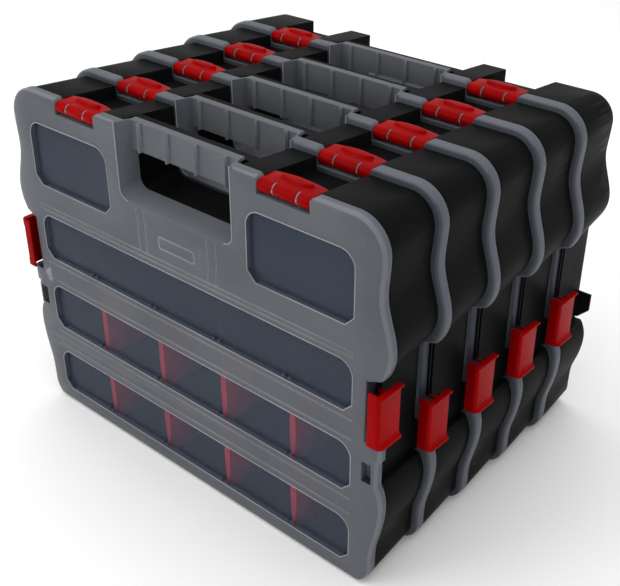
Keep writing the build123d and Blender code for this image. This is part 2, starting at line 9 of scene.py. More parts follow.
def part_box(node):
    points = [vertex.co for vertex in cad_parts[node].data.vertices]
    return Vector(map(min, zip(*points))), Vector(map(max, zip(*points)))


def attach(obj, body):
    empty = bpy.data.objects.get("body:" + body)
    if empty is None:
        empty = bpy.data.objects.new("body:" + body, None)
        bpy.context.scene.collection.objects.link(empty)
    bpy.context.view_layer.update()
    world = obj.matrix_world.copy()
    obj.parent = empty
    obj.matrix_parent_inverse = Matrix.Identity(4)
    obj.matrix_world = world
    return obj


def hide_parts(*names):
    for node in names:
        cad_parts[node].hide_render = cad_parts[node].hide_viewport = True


# Five carrying cases for small parts, clipped into one block and dressed over their CAD nodes
MM = 0.001
CASES = (1, 2, 3, 4, 5)
SIDES = ("left", "right")
DIVIDER_ROWS = (3, 4)
DIVIDERS_IN_ROW = 4

# Camera at the photograph's place and angle
PHOTO_WIDTH = 620
SENSOR_WIDTH = 36.0
CAMERA_AZIMUTH = 41.35
CAMERA_ELEVATION = 30.91
CAMERA_PLACE = Vector((0.5368, -0.6126, 0.6067))
CAMERA_NEAR = 0.01
FOCAL_PIXELS = 1026.13

# Windows of a lid: height limits of the rows from the top, and limits at either side of the middle
WINDOW_ROWS = (
    (232.3 * MM, 290.0 * MM),
    (159.9 * MM, 203.7 * MM),
    (86.6 * MM, 131.8 * MM),
    (15.9 * MM, 59.8 * MM),
)
WINDOW_OUTER = 176.7 * MM
TOP_WINDOW_INNER = 76.8 * MM
WINDOW_MARGIN = 0.5 * MM
RIM_MARGIN = 4.0 * MM

# Recess at the handle with its grip wall, and the bays at the sides that hold the clips
RECESS_HALF_WIDTH = 66.0 * MM
RECESS_BOTTOM = 250.0 * MM
GRIP_WALL_FRONT = 13.2 * MM
GRIP_WALL_BOTTOM = 291.0 * MM
BAY_SIDES = (188.5 * MM, 196.0 * MM)
BAY_HEIGHTS = (102.0 * MM, 194.0 * MM)

# Depths behind the front of a lid: the end of its face, of the relief and of the rounded rim, the middle
# of a pane and just past its rear, and where the finish of the side wall is full and where it has faded
FACE_DEPTH = 0.3 * MM
RELIEF_DEPTH = 0.9 * MM
ROUNDING_DEPTH = 2.2 * MM
PANE_MIDDLE = 5.2 * MM
PANE_FAR = 6.1 * MM
SIDE_WALL_START = 0.9 * MM
SIDE_WALL_DEPTH = 9.2 * MM

# Least share of a face's normal along Y on a flat face, along Z on the recess's shelf and along X on the
# side of a grip rib, and the most along Z on the shaded front of a rear case's lid
FLAT_FACING = 0.9
SHELF_FACING = 0.7
RIB_FACING = 0.98
SIDE_FACING = 0.5

# Attribute of a lid's areas and painted light: the painted highlight of its edges in red, its panes in
# green, its walls in blue with the rim's painted highlight, and the light that reaches it in alpha, as 1
# less the painted shade
WINDOW_EDGE_CATCH = 0.3
RELIEF_CATCH = 0.8
GRIP_RIB_CATCH = 0.6
PANE_FRONT = 1.0
PANE_REAR = 2.0
# Side walls in blue: the front lid's outer walls carry the rim's painted highlight near the front, while the
# walls of the recess and of the rear cases take a smaller share without it
OUTER_WALL = 1.0
INNER_WALL = 0.3
WALL_FADE = 0.8
BAY_SHADE = 2.0
ROUNDING_SHADE = 1.0
REAR_FACE_SHADE = 0.6

# Values of the attribute over which the rear of a pane, a side wall and the rim's painted highlight come in
REAR_PANE_BAND = (1.4, 1.6)
SIDE_BAND = (0.05, 0.15)
RIM_BAND = (0.50, 0.68)

# Thin lips along the front edges of the windows and the recess, and finer ones along the relief on the face
# The lips are pale beads that paint a highlight where these edges catch the light
LIP_RADIUS = 0.45 * MM
RELIEF_LIP_RADIUS = 0.26 * MM
LIP_SIDES = 8

# Limits of the lips: half width and heights of the recess, half width and top of the gap in its lower edge,
# and half width and heights of the relief
LIP_REACH = (63.4 * MM, 252.0 * MM, 316.0 * MM)
LIP_BOTTOM = (52.0 * MM, 254.5 * MM)
RELIEF_REACH = (180.0 * MM, 60.5 * MM, 251.0 * MM)

# Rounded edges of the moulded pieces: width in metres and number of steps
BASE_EDGE = (0.45 * MM, 2)
LID_EDGE = (0.4 * MM, 2)
LATCH_EDGE = (0.5 * MM, 3)
CLIP_EDGE = (0.6 * MM, 3)
DIVIDER_EDGE = (0.3 * MM, 2)

# Least angle of an edge that is rounded, what counts as one point and as one flat face, and the slot that
# marks the rounded faces while a piece is made
SHARP_ANGLE = math.radians(28)
WELD = 0.002 * MM
FLAT_ANGLE = math.radians(0.6)
ROUNDED_SLOT = 1

# Small ribs inside the side walls of a lid, at the two bulges: their heights, number and sizes
RIM_RIB_SPANS = ((206 * MM, 221 * MM), (70 * MM, 80 * MM))
RIM_RIB_COUNT = 5
RIM_RIB_THICKNESS = 0.34 * MM
RIM_RIB_WIDTH = 0.8 * MM
RIM_RIB_LENGTH = 3.8 * MM
RIM_RIB_SINK = RIM_RIB_THICKNESS / 4
RIM_RIB_MIDDLE = 7.0 * MM
RIM_PATH_STEPS = 8

# Search for the inner face of a side wall: its start from the middle plane, and its step into the wall
WALL_SEARCH_START = 0.3
WALL_SEARCH_STEP = 0.1 * MM

# Places of a Mix node's sockets: its factor, and the pair and the result of each kind
MIX_FACTOR = 0
MIX_NUMBERS = (2, 3)
MIX_NUMBER_RESULT = 0
MIX_COLOURS = (6, 7)
MIX_COLOUR_RESULT = 2

# Moulded grain and slow clouds of shade, shared by all plastics
GRAIN_HEIGHT = 0.05 * MM
CLOUD_BAND = (0.35, 0.65)
WIDE_CLOUD_BAND = (0.3, 0.7)
DARK_CLOUD_SHARE = 0.8

# Scuffs: detail, roughness and distortion of their noise, the part of it that shows, and how much rougher
# they are than the plastic around them
SCUFF_NOISE = (6.0, 0.75, 1.5)
SCUFF_BAND = (0.58, 0.74)
SCUFF_ROUGHNESS = 0.2

# Noise that breaks up the painted highlight of the edges, in steps per metre
EDGE_BREAK_SCALE = 90.0

# Frosted face of the smoky lid: its two shades and how far it hides what is behind it
FROST_DARK = (0.098, 0.104, 0.117)
FROST_LIGHT = (0.122, 0.129, 0.144)
FROST_COVER = 0.80
LID_ROUGHNESS = (0.34, 0.46)
LID_SPECULAR = 0.14
LID_GRAIN_STRENGTH = 0.12
PANE_ROUGHNESS = 0.2

# Other areas of the smoky lid: colour and cover
# Colour of scuffs, and also the painted highlight on the lid's edges, relief steps and grip ribs
EDGE_GLINT_AND_SCUFF_TONE = ((0.34, 0.35, 0.37), 0.90)
# Painted highlight on the front of the front lid's outer side walls, where the rim catches the light
RIM_HIGHLIGHT_TONE = ((0.170, 0.180, 0.200), 0.80)
SIDE_TONE = ((0.110, 0.119, 0.140), 0.80)
# Painted shade in the bays that hold the clips, and on the fronts and roundings of the rear lids between the
# cases
PAINTED_SHADE_TONE = ((0.026, 0.031, 0.042), 0.92)
PANE_TONE = ((0.073, 0.092, 0.133), 0.45)
PANE_REAR_TONE = (PANE_TONE[0], 0.0)

# Opaque plastics: body colour, colour of scratches that is also the painted highlight where edges catch
# the light, roughness from clear to clouded, size of the grain in mm, its strength, and specular level
BLACK_SATIN = {
    "colour": (0.0050, 0.0052, 0.0056),
    "scuff_and_edge_glint": (0.017, 0.017, 0.018),
    "roughness": (0.38, 0.50),
    "grain_size": 0.6,
    "grain_strength": 0.1,
    "specular": 0.02,
}
# Pale paint of the lips, a painted highlight, also laid on the small ribs inside the side walls
PALE_LIP = {
    "colour": (0.30, 0.31, 0.335),
    "scuff_and_edge_glint": (0.42, 0.43, 0.45),
    "roughness": (0.34, 0.46),
    "grain_size": 0.7,
    "grain_strength": 0.12,
    "specular": 0.14,
}
RED_GLOSS = {
    "colour": (0.27, 0.0006, 0.0012),
    "scuff_and_edge_glint": (0.36, 0.004, 0.005),
    "roughness": (0.24, 0.34),
    "grain_size": 1.2,
    "grain_strength": 0.08,
    "specular": 0.02,
}
RED_SATIN = {
    "colour": (0.72, 0.018, 0.030),
    "scuff_and_edge_glint": (0.80, 0.060, 0.070),
    "roughness": (0.36, 0.46),
    "grain_size": 0.7,
    "grain_strength": 0.15,
    "specular": 0.15,
}

# Floor: half its width, its tones, the scale and detail of the noise between them, and its finish
FLOOR_HALF = 6.0
FLOOR_TONES = ((0.90, 0.90, 0.90), (0.93, 0.93, 0.93))
FLOOR_NOISE = (3.0, 2.0)
FLOOR_ROUGHNESS = 0.9
FLOOR_SPECULAR = 0.1

# Surround, and the lights with their place, target, size and power
WORLD_COLOUR = (1.0, 1.0, 1.0, 1.0)
WORLD_STRENGTH = 0.65
LIGHTS = {
    "overhead": ((-0.3, 0.1, 2.3), (0, 0, 0), 3.2, 44.0),
    "front_left": ((-1.1, -1.7, 1.2), (0, -0.1, 0.15), 1.4, 16.0),
    "right_fill": ((1.9, -0.3, 0.9), (0, 0, 0.15), 1.0, 4.0),
}


def node_tree(material):
    """The emptied node tree of a material, with its main shader."""
    material.use_nodes = True
    tree = material.node_tree
    tree.nodes.clear()
    output = tree.nodes.new("ShaderNodeOutputMaterial")
    shader = tree.nodes.new("ShaderNodeBsdfPrincipled")
    tree.links.new(shader.outputs["BSDF"], output.inputs["Surface"])
    return tree, shader


def new_group(name, inputs, outputs):
    """An empty shader node group with named number inputs and named outputs."""
    group = bpy.data.node_groups.new(name, "ShaderNodeTree")
    for label, value in inputs:
        socket = group.interface.new_socket(label, in_out="INPUT", socket_type="NodeSocketFloat")
        socket.default_value = value
    for label in outputs:
        group.interface.new_socket(label, in_out="OUTPUT", socket_type="NodeSocketFloat")
    return group, group.nodes.new("NodeGroupInput"), group.nodes.new("NodeGroupOutput")


def feed(tree, socket, value):
    """Gives a socket a colour, a number or the result of another socket."""
    if isinstance(value, tuple):
        socket.default_value = (*value, 1.0)
    elif isinstance(value, (int, float)):
        socket.default_value = value
    else:
        tree.links.new(value, socket)


def math_node(tree, operation, first, second):
    """The result of one sum. Each side is a number or a socket."""
    node = tree.nodes.new("ShaderNodeMath")
    node.operation = operation
    feed(tree, node.inputs[0], first)
    feed(tree, node.inputs[1], second)
    return node.outputs[0]


def ramp(tree, source, low, high, low_value=0.0, high_value=1.0):
    """The source spread from low_value to high_value as it goes from low to high."""
    node = tree.nodes.new("ShaderNodeMapRange")
    node.inputs["From Min"].default_value = low
    node.inputs["From Max"].default_value = high
    node.inputs["To Min"].default_value = low_value
    node.inputs["To Max"].default_value = high_value
    tree.links.new(source, node.inputs["Value"])
    return node.outputs["Result"]


def noise_at(tree, scale, detail, roughness=0.5, distortion=0.0):
    """Noise in the piece's own coordinates. The scale is a number per metre, or a socket."""
    place = tree.nodes.new("ShaderNodeTexCoord")
    noise = tree.nodes.new("ShaderNodeTexNoise")
    noise.inputs["Detail"].default_value = detail
    noise.inputs["Roughness"].default_value = roughness
    noise.inputs["Distortion"].default_value = distortion
    tree.links.new(place.outputs["Object"], noise.inputs["Vector"])
    feed(tree, noise.inputs["Scale"], scale)
    return noise.outputs["Fac"]


def make_grain_group():
    """Fine grain of moulded plastic, and a slow change of shade over the piece. Sizes are in mm."""
    group, source, result = new_group(
        "moulded_grain", [("Grain size", 0.8), ("Cloud size", 60.0)], ["Height", "Shade"]
    )
    for size, detail, output in (("Grain size", 3.0, "Height"), ("Cloud size", 2.0, "Shade")):
        per_metre = math_node(group, "DIVIDE", 1 / MM, source.outputs[size])
        group.links.new(noise_at(group, per_metre, detail), result.inputs[output])
    return group


def make_scuff_group():
    """Short scratches and faint smears, with their spacing in mm: 0 where clean and 1 where scuffed."""
    group, source, result = new_group("handling_scuffs", [("Spacing", 14.0), ("Amount", 0.5)], ["Mask"])
    per_metre = math_node(group, "DIVIDE", 1 / MM, source.outputs["Spacing"])
    thin = ramp(group, noise_at(group, per_metre, *SCUFF_NOISE), *SCUFF_BAND)
    group.links.new(math_node(group, "MULTIPLY", thin, source.outputs["Amount"]), result.inputs["Mask"])
    return group


def make_edge_group():
    """Reads the attribute of areas and painted light: rounded edges, broken up by noise, and a lid's areas.

    The rounded edges carry a painted highlight, and alpha is the light left under the painted shade.
    """
    masks = ["Edge", "Pane", "Back", "Side", "Rim", "Painted_shade"]
    group, source, result = new_group("edge_catch", [("Strength", 1.0), ("Break up", 0.4)], masks)
    areas_and_painted_light = group.nodes.new("ShaderNodeAttribute")
    areas_and_painted_light.attribute_name = "areas_and_painted_light"
    parts = group.nodes.new("ShaderNodeSeparateColor")
    group.links.new(areas_and_painted_light.outputs["Color"], parts.inputs["Color"])
    noise = noise_at(group, EDGE_BREAK_SCALE, detail=2.0)
    cut = math_node(group, "MULTIPLY", noise, source.outputs["Break up"])
    left = math_node(group, "SUBTRACT", source.outputs["Strength"], cut)
    group.links.new(math_node(group, "MULTIPLY", parts.outputs["Red"], left), result.inputs["Edge"])
    for mask, value, band in (
        ("Pane", parts.outputs["Green"], (0.0, PANE_FRONT)),
        ("Back", parts.outputs["Green"], REAR_PANE_BAND),
        ("Side", parts.outputs["Blue"], SIDE_BAND),
        ("Rim", parts.outputs["Blue"], RIM_BAND),
        ("Painted_shade", areas_and_painted_light.outputs["Alpha"], (1.0, 0.0)),
    ):
        group.links.new(ramp(group, value, *band), result.inputs[mask])
    return group


def place_group(tree, group, **values):
    """One use of a node group with its named inputs set."""
    node = tree.nodes.new("ShaderNodeGroup")
    node.node_tree = group
    for label, value in values.items():
        node.inputs[label.replace("_", " ")].default_value = value
    return node


def mix_colour(tree, factor, first, second):
    """First colour where the factor is 0, second where it is 1. Each is a colour or a socket."""
    node = tree.nodes.new("ShaderNodeMix")
    node.data_type = "RGBA"
    tree.links.new(factor, node.inputs[MIX_FACTOR])
    for index, value in zip(MIX_COLOURS, (first, second)):
        feed(tree, node.inputs[index], value)
    return node.outputs[MIX_COLOUR_RESULT]


def mix_number(tree, factor, first, second):
    """First number where the factor is 0, second where it is 1. Each is a number or a socket."""
    node = tree.nodes.new("ShaderNodeMix")
    node.data_type = "FLOAT"
    tree.links.new(factor, node.inputs[MIX_FACTOR])
    for index, value in zip(MIX_NUMBERS, (first, second)):
        feed(tree, node.inputs[index], value)
    return node.outputs[MIX_NUMBER_RESULT]


def grain_bump(tree, shader, height, strength):
    """Feeds the grain's height into the shader's normal. The strength is a number or a socket."""
    bump = tree.nodes.new("ShaderNodeBump")
    feed(tree, bump.inputs["Strength"], strength)
    bump.inputs["Distance"].default_value = GRAIN_HEIGHT
    tree.links.new(height, bump.inputs["Height"])
    tree.links.new(bump.outputs["Normal"], shader.inputs["Normal"])


def make_plastic(name, look):
    """An opaque moulded plastic: two shades of its colour, lighter rounded edges, scratches and grain.

    The lighter rounded edges are a painted highlight.
    """
    material = bpy.data.materials.new(name)
    tree, shader = node_tree(material)
    skin = place_group(tree, grain_group, Grain_size=look["grain_size"], Cloud_size=55.0)
    scuffs = place_group(tree, scuff_group, Spacing=16.0, Amount=0.25)
    edges = place_group(tree, edge_group, Strength=0.7, Break_up=0.5)
    clouds = ramp(tree, skin.outputs["Shade"], *CLOUD_BAND)
    darker = tuple(DARK_CLOUD_SHARE * part for part in look["colour"])
    colour = mix_colour(tree, clouds, darker, look["colour"])
    colour = mix_colour(tree, scuffs.outputs["Mask"], colour, look["scuff_and_edge_glint"])
    # Painted highlight: rounded edges lightened towards the colour of scratches
    colour = mix_colour(tree, edges.outputs["Edge"], colour, look["scuff_and_edge_glint"])
    tree.links.new(colour, shader.inputs["Base Color"])
    rough = ramp(tree, skin.outputs["Shade"], *WIDE_CLOUD_BAND, *look["roughness"])
    scuffed = look["roughness"][1] + SCUFF_ROUGHNESS
    tree.links.new(mix_number(tree, scuffs.outputs["Mask"], rough, scuffed), shader.inputs["Roughness"])
    shader.inputs["Specular IOR Level"].default_value = look["specular"]
    grain_bump(tree, shader, skin.outputs["Height"], look["grain_strength"])
    return material


def make_smoky_lid(name):
    """The lid's smoky plastic: a frosted face with pale edges and rim, darker walls, shaded parts and
    windows.

    The pale edges and rim are a painted highlight, and the shaded parts, in the bays and on the rear lids,
    are painted shade.

    A window's pane has its tint on the front face, and its rear face is left clear.
    """
    material = bpy.data.materials.new(name)
    tree, shader = node_tree(material)
    skin = place_group(tree, grain_group, Grain_size=0.7, Cloud_size=70.0)
    scuffs = place_group(tree, scuff_group, Spacing=22.0, Amount=0.12)
    edges = place_group(tree, edge_group, Strength=1.0, Break_up=0.35)
    clouds = ramp(tree, skin.outputs["Shade"], *WIDE_CLOUD_BAND)
    colour = mix_colour(tree, clouds, FROST_DARK, FROST_LIGHT)
    cover = FROST_COVER
    # Over the frosted face go the side walls, the rim's painted highlight, the panes, scuffs, the painted
    # highlight of edges, painted shade, and the clear rear of the panes
    for mask, (tone, tone_cover) in (
        (edges.outputs["Side"], SIDE_TONE),
        (edges.outputs["Rim"], RIM_HIGHLIGHT_TONE),
        (edges.outputs["Pane"], PANE_TONE),
        (scuffs.outputs["Mask"], EDGE_GLINT_AND_SCUFF_TONE),
        (edges.outputs["Edge"], EDGE_GLINT_AND_SCUFF_TONE),
        (edges.outputs["Painted_shade"], PAINTED_SHADE_TONE),
        (edges.outputs["Back"], PANE_REAR_TONE),
    ):
        colour = mix_colour(tree, mask, colour, tone)
        cover = mix_number(tree, mask, cover, tone_cover)
    tree.links.new(colour, shader.inputs["Base Color"])
    tree.links.new(cover, shader.inputs["Alpha"])
    rough = ramp(tree, skin.outputs["Shade"], *WIDE_CLOUD_BAND, *LID_ROUGHNESS)
    rough = mix_number(tree, edges.outputs["Pane"], rough, PANE_ROUGHNESS)
    tree.links.new(rough, shader.inputs["Roughness"])
    shader.inputs["Specular IOR Level"].default_value = LID_SPECULAR
    strength = mix_number(tree, edges.outputs["Pane"], LID_GRAIN_STRENGTH, 0.0)
    grain_bump(tree, shader, skin.outputs["Height"], strength)
    return material


def geometry_group(name, inputs):
    """An empty Geometry Nodes group with a mesh in and out, and further named inputs."""
    group = bpy.data.node_groups.new(name, "GeometryNodeTree")
    group.interface.new_socket("Geometry", in_out="INPUT", socket_type="NodeSocketGeometry")
    for label, kind in inputs:
        group.interface.new_socket(label, in_out="INPUT", socket_type=kind)
    group.interface.new_socket("Geometry", in_out="OUTPUT", socket_type="NodeSocketGeometry")
    return group, group.nodes.new("NodeGroupInput"), group.nodes.new("NodeGroupOutput")


def finish_instances(group, source, result, instances):
    """Makes the copies real, gives them the group's material and sends them out."""
    real = group.nodes.new("GeometryNodeRealizeInstances")
    paint = group.nodes.new("GeometryNodeSetMaterial")
    group.links.new(instances, real.inputs["Geometry"])
    group.links.new(real.outputs["Geometry"], paint.inputs["Geometry"])
    group.links.new(source.outputs["Material"], paint.inputs["Material"])
    group.links.new(paint.outputs["Geometry"], result.inputs["Geometry"])


def make_even_row_group():
    """Repeats a piece along X, evenly spaced and centred on the middle plane."""
    group, source, result = geometry_group("even_row", [
        ("Count", "NodeSocketInt"),
        ("Spacing", "NodeSocketFloat"),
        ("Material", "NodeSocketMaterial"),
    ])
    line = group.nodes.new("GeometryNodeMeshLine")
    step = group.nodes.new("ShaderNodeCombineXYZ")
    start = group.nodes.new("ShaderNodeCombineXYZ")
    copies = group.nodes.new("GeometryNodeInstanceOnPoints")
    spaces = math_node(group, "SUBTRACT", source.outputs["Count"], 1)
    whole = math_node(group, "MULTIPLY", spaces, source.outputs["Spacing"])
    half = math_node(group, "MULTIPLY", whole, -0.5)
    group.links.new(source.outputs["Count"], line.inputs["Count"])
    group.links.new(source.outputs["Spacing"], step.inputs["X"])
    group.links.new(half, start.inputs["X"])
    group.links.new(step.outputs["Vector"], line.inputs["Offset"])
    group.links.new(start.outputs["Vector"], line.inputs["Start Location"])
    group.links.new(line.outputs["Mesh"], copies.inputs["Points"])
    group.links.new(source.outputs["Geometry"], copies.inputs["Instance"])
    finish_instances(group, source, result, copies.outputs["Instances"])
    return group


def make_path_ribs_group():
    """Sets ribs along a path, each lying along Y, with its thickness and width across the path."""
    group, source, result = geometry_group("path_ribs", [
        ("Count", "NodeSocketInt"),
        ("Thickness", "NodeSocketFloat"),
        ("Width", "NodeSocketFloat"),
        ("Length", "NodeSocketFloat"),
        ("Material", "NodeSocketMaterial"),
    ])
    curve = group.nodes.new("GeometryNodeMeshToCurve")
    points = group.nodes.new("GeometryNodeCurveToPoints")
    line = group.nodes.new("GeometryNodeCurvePrimitiveLine")
    profile = group.nodes.new("GeometryNodeCurvePrimitiveQuadrilateral")
    rib = group.nodes.new("GeometryNodeCurveToMesh")
    copies = group.nodes.new("GeometryNodeInstanceOnPoints")
    low = group.nodes.new("ShaderNodeCombineXYZ")
    high = group.nodes.new("ShaderNodeCombineXYZ")
    group.links.new(source.outputs["Geometry"], curve.inputs["Mesh"])
    group.links.new(curve.outputs["Curve"], points.inputs["Curve"])
    group.links.new(source.outputs["Count"], points.inputs["Count"])
    for end, share in ((low, -0.5), (high, 0.5)):
        group.links.new(math_node(group, "MULTIPLY", source.outputs["Length"], share), end.inputs["Y"])
    group.links.new(low.outputs["Vector"], line.inputs["Start"])
    group.links.new(high.outputs["Vector"], line.inputs["End"])
    group.links.new(source.outputs["Thickness"], profile.inputs["Width"])
    group.links.new(source.outputs["Width"], profile.inputs["Height"])
    group.links.new(line.outputs["Curve"], rib.inputs["Curve"])
    group.links.new(profile.outputs["Curve"], rib.inputs["Profile Curve"])
    rib.inputs["Fill Caps"].default_value = True
    group.links.new(points.outputs["Points"], copies.inputs["Points"])
    group.links.new(rib.outputs["Mesh"], copies.inputs["Instance"])
    finish_instances(group, source, result, copies.outputs["Instances"])
    return group


def make_edge_bead_group():
    """Runs a round bead along a path."""
    group, source, result = geometry_group("edge_bead", [
        ("Radius", "NodeSocketFloat"),
        ("Sides", "NodeSocketInt"),
        ("Material", "NodeSocketMaterial"),
    ])
    curve = group.nodes.new("GeometryNodeMeshToCurve")
    profile = group.nodes.new("GeometryNodeCurvePrimitiveCircle")
    bead = group.nodes.new("GeometryNodeCurveToMesh")
    group.links.new(source.outputs["Geometry"], curve.inputs["Mesh"])
    group.links.new(source.outputs["Sides"], profile.inputs["Resolution"])
    group.links.new(source.outputs["Radius"], profile.inputs["Radius"])
    group.links.new(curve.outputs["Curve"], bead.inputs["Curve"])
    group.links.new(profile.outputs["Curve"], bead.inputs["Profile Curve"])
    bead.inputs["Fill Caps"].default_value = True
    finish_instances(group, source, result, bead.outputs["Mesh"])
    return group


def grown(mesh, group, **values):
    """The mesh that a Geometry Nodes group makes of another, with the group's named inputs set."""
    blank = bpy.data.objects.new(mesh.name + "_blank", mesh)
    bpy.context.scene.collection.objects.link(blank)
    modifier = blank.modifiers.new(group.name, "NODES")
    modifier.node_group = group
    for item in group.interface.items_tree:
        if item.in_out == "INPUT" and item.name in values:
            modifier[item.identifier] = values[item.name]
    depsgraph = bpy.context.evaluated_depsgraph_get()
    made = bpy.data.meshes.new_from_object(blank.evaluated_get(depsgraph))
    bpy.data.objects.remove(blank)
    bpy.data.meshes.remove(mesh)
    return made


def finished(name, mesh, material):
    """A finished piece at the origin with one material."""
    mesh.name = name
    mesh.materials.clear()
    mesh.materials.append(material)
    piece = bpy.data.objects.new(name, mesh)
    bpy.context.scene.collection.objects.link(piece)
    return piece


def merged_copy(nodes, shifts):
    """One merged mesh of CAD nodes, each moved by its shift."""
    shell = bmesh.new()
    for node, shift in zip(nodes, shifts):
        before = len(shell.verts)
        shell.from_mesh(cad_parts[node].data)
        shell.verts.ensure_lookup_table()
        for vertex in shell.verts[before:]:
            vertex.co += shift
    bmesh.ops.remove_doubles(shell, verts=shell.verts, dist=WELD)
    bmesh.ops.dissolve_limit(shell, angle_limit=FLAT_ANGLE, verts=shell.verts, edges=shell.edges)
    mesh = bpy.data.meshes.new("merged")
    shell.to_mesh(mesh)
    shell.free()
    return mesh


def in_window(place):
    """Whether a place lies within the sides and heights of a lid's window, or just outside them."""
    across = abs(place.x)
    for row, (bottom, top) in enumerate(WINDOW_ROWS):
        inside = across < WINDOW_OUTER + WINDOW_MARGIN
        if row == 0:
            inside = inside and across > TOP_WINDOW_INNER - WINDOW_MARGIN
        if inside and bottom - WINDOW_MARGIN < place.z < top + WINDOW_MARGIN:
            return True
    return False


def is_pane(place, behind):
    """Whether a place on a lid, at its depth behind the front, is on a window's pane or reveal."""
    return in_window(place) and FACE_DEPTH < behind < PANE_FAR


def is_in_recess(place, behind):
    """Whether a place on a lid, at its depth behind the front, is inside the recess at the handle."""
    return abs(place.x) < RECESS_HALF_WIDTH and place.z > RECESS_BOTTOM and behind > FACE_DEPTH


def is_in_bay(place):
    """Whether a place on a lid is inside one of the bays that hold the clips."""
    across = BAY_SIDES[0] < abs(place.x) < BAY_SIDES[1]
    return across and BAY_HEIGHTS[0] < place.z < BAY_HEIGHTS[1]


def lid_shade(face, behind, flat, rear_case):
    """How much a lid's face is shaded: inside the bays, and on the front of a lid behind another case."""
    shade = BAY_SHADE if is_in_bay(face.center) and not flat else 0.0
    if rear_case and behind < ROUNDING_DEPTH and abs(face.normal.z) < SIDE_FACING:
        shade = max(shade, REAR_FACE_SHADE if flat else ROUNDING_SHADE)
    return shade


def lid_areas(face, on_edge, behind, rear_case):
    """The areas of a lid's face: its edge, its pane, its side wall, and the light that is left to it.

    The edge is a painted highlight, and the light is 1 less the painted shade.
    """
    place, normal = face.center, face.normal
    flat = abs(normal.y) > FLAT_FACING
    if is_pane(place, behind):
        pane = PANE_REAR if behind > PANE_MIDDLE else PANE_FRONT
        return WINDOW_EDGE_CATCH * on_edge, pane, 0.0, 1.0
    in_recess = is_in_recess(place, behind)
    on_grip_wall = in_recess and place.z > GRIP_WALL_BOTTOM and behind < GRIP_WALL_FRONT
    # Painted highlight on the sides of the grip ribs, in place of their shade
    if on_grip_wall and abs(normal.x) > RIB_FACING:
        return GRIP_RIB_CATCH, 0.0, 0.0, 1.0
    # Painted highlight on the steps of the relief
    if flat and FACE_DEPTH < behind < RELIEF_DEPTH:
        on_edge = RELIEF_CATCH
    if abs(place.x) > WINDOW_OUTER + RIM_MARGIN and behind < ROUNDING_DEPTH:
        on_edge = 0.0
    on_shelf = in_recess and normal.z > SHELF_FACING
    side = 0.0
    if not flat and not on_shelf:
        side = INNER_WALL if rear_case or in_recess else OUTER_WALL
    return on_edge, 0.0, side, 1.0 - lid_shade(face, behind, flat, rear_case)


def side_share(share, behind):
    """A side wall's share of the attribute's blue at one depth: none at the face, and less again far behind
    it.

    On the front lid's outer walls this fades the rim's painted highlight towards the back.
    """
    start = share * min(max(behind / SIDE_WALL_START, 0.0), 1.0)
    if share <= INNER_WALL:
        return start
    return start * (1.0 - WALL_FADE * min(behind / SIDE_WALL_DEPTH, 1.0))


def corner_areas_and_light(areas, behind, on_rear_rounding):
    """The areas and painted light at one corner of a lid's face.

    On a rear case the painted shade fades out over the rounding.
    """
    on_edge, pane, side, light = areas
    if side > 0.0:
        side = side_share(side, behind)
    if on_rear_rounding:
        light += min(max(behind / ROUNDING_DEPTH, 0.0), 1.0)
    return on_edge, pane, side, light


def mark_edges(mesh, areas_and_painted_light):
    """Writes a piece's rounded edges, for their painted highlight, into its attribute of painted light."""
    for face in mesh.polygons:
        on_edge = 1.0 if face.material_index == ROUNDED_SLOT else 0.0
        for corner in face.loop_indices:
            areas_and_painted_light.data[corner].color = (on_edge, 0.0, 0.0, 1.0)


def mark_lid(mesh, areas_and_painted_light, lid_front, rear_case):
    """Writes a lid's rounded edges and areas, with their painted highlight and shade, into its attribute."""
    for face in mesh.polygons:
        on_edge = 1.0 if face.material_index == ROUNDED_SLOT else 0.0
        behind = face.center.y - lid_front
        areas = lid_areas(face, on_edge, behind, rear_case)
        on_rear_rounding = rear_case and behind < ROUNDING_DEPTH
        for corner in face.loop_indices:
            depth = mesh.vertices[mesh.loops[corner].vertex_index].co.y - lid_front
            areas_and_painted_light.data[corner].color = corner_areas_and_light(areas, depth, on_rear_rounding)


def rounded(mesh, edge, lid_front=None, rear_case=False):
    """The mesh with rounded edges. Its attribute of areas and painted light marks them, and a lid's areas.
    """
    mesh.materials.clear()
    for _ in range(ROUNDED_SLOT + 1):
        mesh.materials.append(None)
    mesh.polygons.foreach_set("material_index", [0] * len(mesh.polygons))
    mesh.polygons.foreach_set("use_smooth", [True] * len(mesh.polygons))
    blank = bpy.data.objects.new("edge_blank", mesh)
    bpy.context.scene.collection.objects.link(blank)
    bevel = blank.modifiers.new("rounded_edges", "BEVEL")
    bevel.width, bevel.segments = edge
    bevel.limit_method = "ANGLE"
    bevel.angle_limit = SHARP_ANGLE
    bevel.harden_normals = True
    bevel.material = ROUNDED_SLOT
    depsgraph = bpy.context.evaluated_depsgraph_get()
    made = bpy.data.meshes.new_from_object(blank.evaluated_get(depsgraph))
    bpy.data.objects.remove(blank)
    bpy.data.meshes.remove(mesh)
    areas_and_painted_light = made.color_attributes.new("areas_and_painted_light", "FLOAT_COLOR", "CORNER")
    if lid_front is None:
        mark_edges(made, areas_and_painted_light)
    else:
        mark_lid(made, areas_and_painted_light, lid_front, rear_case)
    made.polygons.foreach_set("material_index", [0] * len(made.polygons))
    return made


def ride_as(piece, body, nodes=()):
    """Puts a piece on its body, in the place of any CAD nodes."""
    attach(piece, body)
    if nodes:
        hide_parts(*nodes)


def dress(node, name, edge, material, body, lid_front=None, rear_case=False):
    """Puts a rounded, finished copy in the place of a CAD node."""
    mesh = rounded(merged_copy([node], [Vector()]), edge, lid_front, rear_case)
    ride_as(finished(name, mesh, material), body, [node])


def divider_name(row, number):
    """The CAD node of one divider of the front case."""
    return f"divider_row_{row}_{number}"


